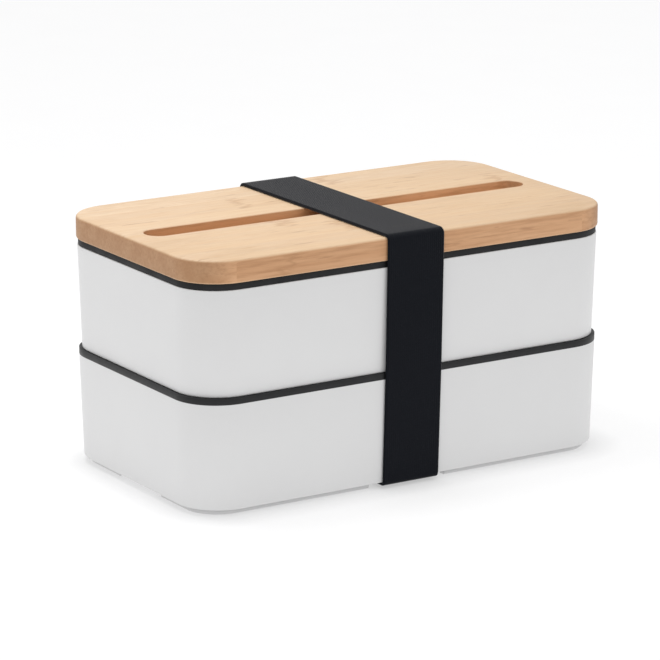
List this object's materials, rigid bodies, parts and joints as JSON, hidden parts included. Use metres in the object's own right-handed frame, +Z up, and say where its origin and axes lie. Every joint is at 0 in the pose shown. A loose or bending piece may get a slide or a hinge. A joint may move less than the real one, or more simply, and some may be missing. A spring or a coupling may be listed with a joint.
{
  "type": "bento lunch box",
  "caption": "Stacking lunch box: two shallow food containers, a middle lid with a cutlery tray, a wooden top lid with a phone groove, and an elastic strap round the stack.",
  "frame": {"origin": "under the centre of the box, on the plane of its feet", "axes": "+Z up through the lid, +X along the long side, -Y towards the front long side"},
  "size_m": [0.185, 0.1078, 0.098],
  "materials": {
    "white_plastic": "satin",
    "black_plastic": "satin",
    "cutlery_plastic": "satin",
    "black_silicone": "matte",
    "bamboo": "fine sanded, lightly oiled",
    "elastic_webbing": "fine woven"
  },
  "bodies": {
    "lower_tier": {"lower_container": "white_plastic"},
    "middle_lid": {"mid_lid": "black_plastic", "mid_lid_seal": "black_silicone"},
    "fork": {"fork": "cutlery_plastic"},
    "spoon": {"spoon": "cutlery_plastic"},
    "upper_tier": {"upper_container": "white_plastic"},
    "divider": {"divider": "white_plastic"},
    "top_lid": {"lid_seal": "black_silicone", "bamboo_lid": "bamboo"},
    "strap": {"elastic_strap": "elastic_webbing"}
  },
  "joints": [
    {"name": "mid_lid_lift", "type": "slide", "parent": "lower_tier", "child": "middle_lid", "axis": [0, 0, 1], "range_m": [0, 0.05]},
    {"name": "upper_container_lift", "type": "slide", "parent": "middle_lid", "child": "upper_tier", "axis": [0, 0, 1], "range_m": [0, 0.06]},
    {"name": "lid_lift", "type": "slide", "parent": "upper_tier", "child": "top_lid", "axis": [0, 0, 1], "range_m": [0, 0.06]},
    {"name": "strap_slide", "type": "slide", "parent": "upper_tier", "child": "strap", "axis": [1, 0, 0], "range_m": [0, 0.13], "deforming": ["elastic_strap"]},
    {"name": "divider_lift", "type": "slide", "parent": "upper_tier", "child": "divider", "axis": [0, 0, 1], "range_m": [0, 0.03]},
    {"name": "fork_lift", "type": "slide", "parent": "middle_lid", "child": "fork", "axis": [0, 0, 1], "range_m": [0, 0.03]},
    {"name": "spoon_lift", "type": "slide", "parent": "middle_lid", "child": "spoon", "axis": [0, 0, 1], "range_m": [0, 0.03]}
  ],
  "couplings": [
    {"joint": "strap_slide", "follows": "lid_lift", "ratio": 2.1666},
    {"joint": "divider_lift", "follows": "lid_lift", "ratio": 0.5},
    {"joint": "fork_lift", "follows": "upper_container_lift", "ratio": 0.5},
    {"joint": "spoon_lift", "follows": "upper_container_lift", "ratio": 0.5}
  ]
}
